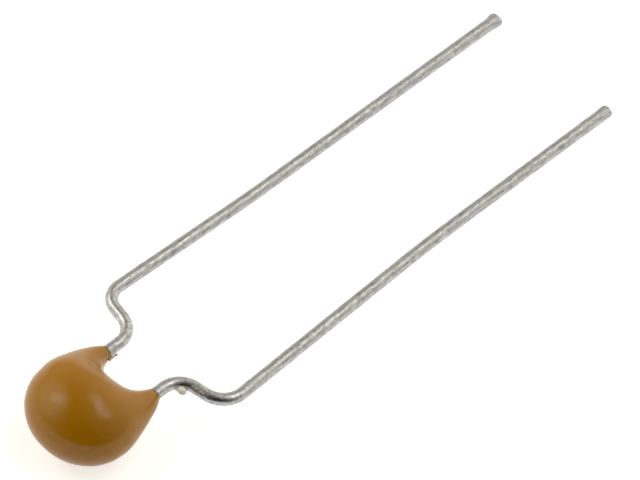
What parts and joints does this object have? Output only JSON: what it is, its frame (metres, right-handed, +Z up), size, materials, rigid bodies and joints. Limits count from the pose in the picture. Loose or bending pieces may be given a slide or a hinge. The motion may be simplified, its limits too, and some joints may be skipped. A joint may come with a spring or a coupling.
{
  "type": "multilayer ceramic capacitor",
  "caption": "Dipped ceramic capacitor: a glossy bead of epoxy over a layered ceramic block, with two round tinned leads kinked outwards and then parallel.",
  "frame": {"origin": "middle of the underside of the part's box as it lies, at the height of the surface that it rests on", "axes": "+X across the two leads, +Y from the bead towards the lead tips, +Z up; the leads slope down by 3.3 degrees from the bead's middle to their tips"},
  "size_m": [0.006, 0.0234, 0.0029],
  "materials": {
    "epoxy": "glossy dipped epoxy, orange brown",
    "tinned_wire": "hot tinned copper wire, bright with a dull mottle",
    "fired_ceramic": "sintered titanate ceramic, matt cream",
    "electrode_metal": "sintered nickel film",
    "fired_silver": "fired silver, matt",
    "solder": "tin solder, bright"
  },
  "bodies": {
    "root": {"epoxy_coating": "epoxy", "lead_left": "tinned_wire", "lead_right": "tinned_wire", "ceramic_block": "fired_ceramic", "end_cap_left": "fired_silver", "end_cap_right": "fired_silver", "solder_left": "solder", "solder_right": "solder", "electrode_1": "electrode_metal", "electrode_2": "electrode_metal", "electrode_3": "electrode_metal", "electrode_4": "electrode_metal", "electrode_5": "electrode_metal", "electrode_6": "electrode_metal", "electrode_7": "electrode_metal", "electrode_8": "electrode_metal", "electrode_9": "electrode_metal", "electrode_10": "electrode_metal", "electrode_11": "electrode_metal", "electrode_12": "electrode_metal", "electrode_13": "electrode_metal", "electrode_14": "electrode_metal", "electrode_15": "electrode_metal", "electrode_16": "electrode_metal"}
  },
  "joints": []
}
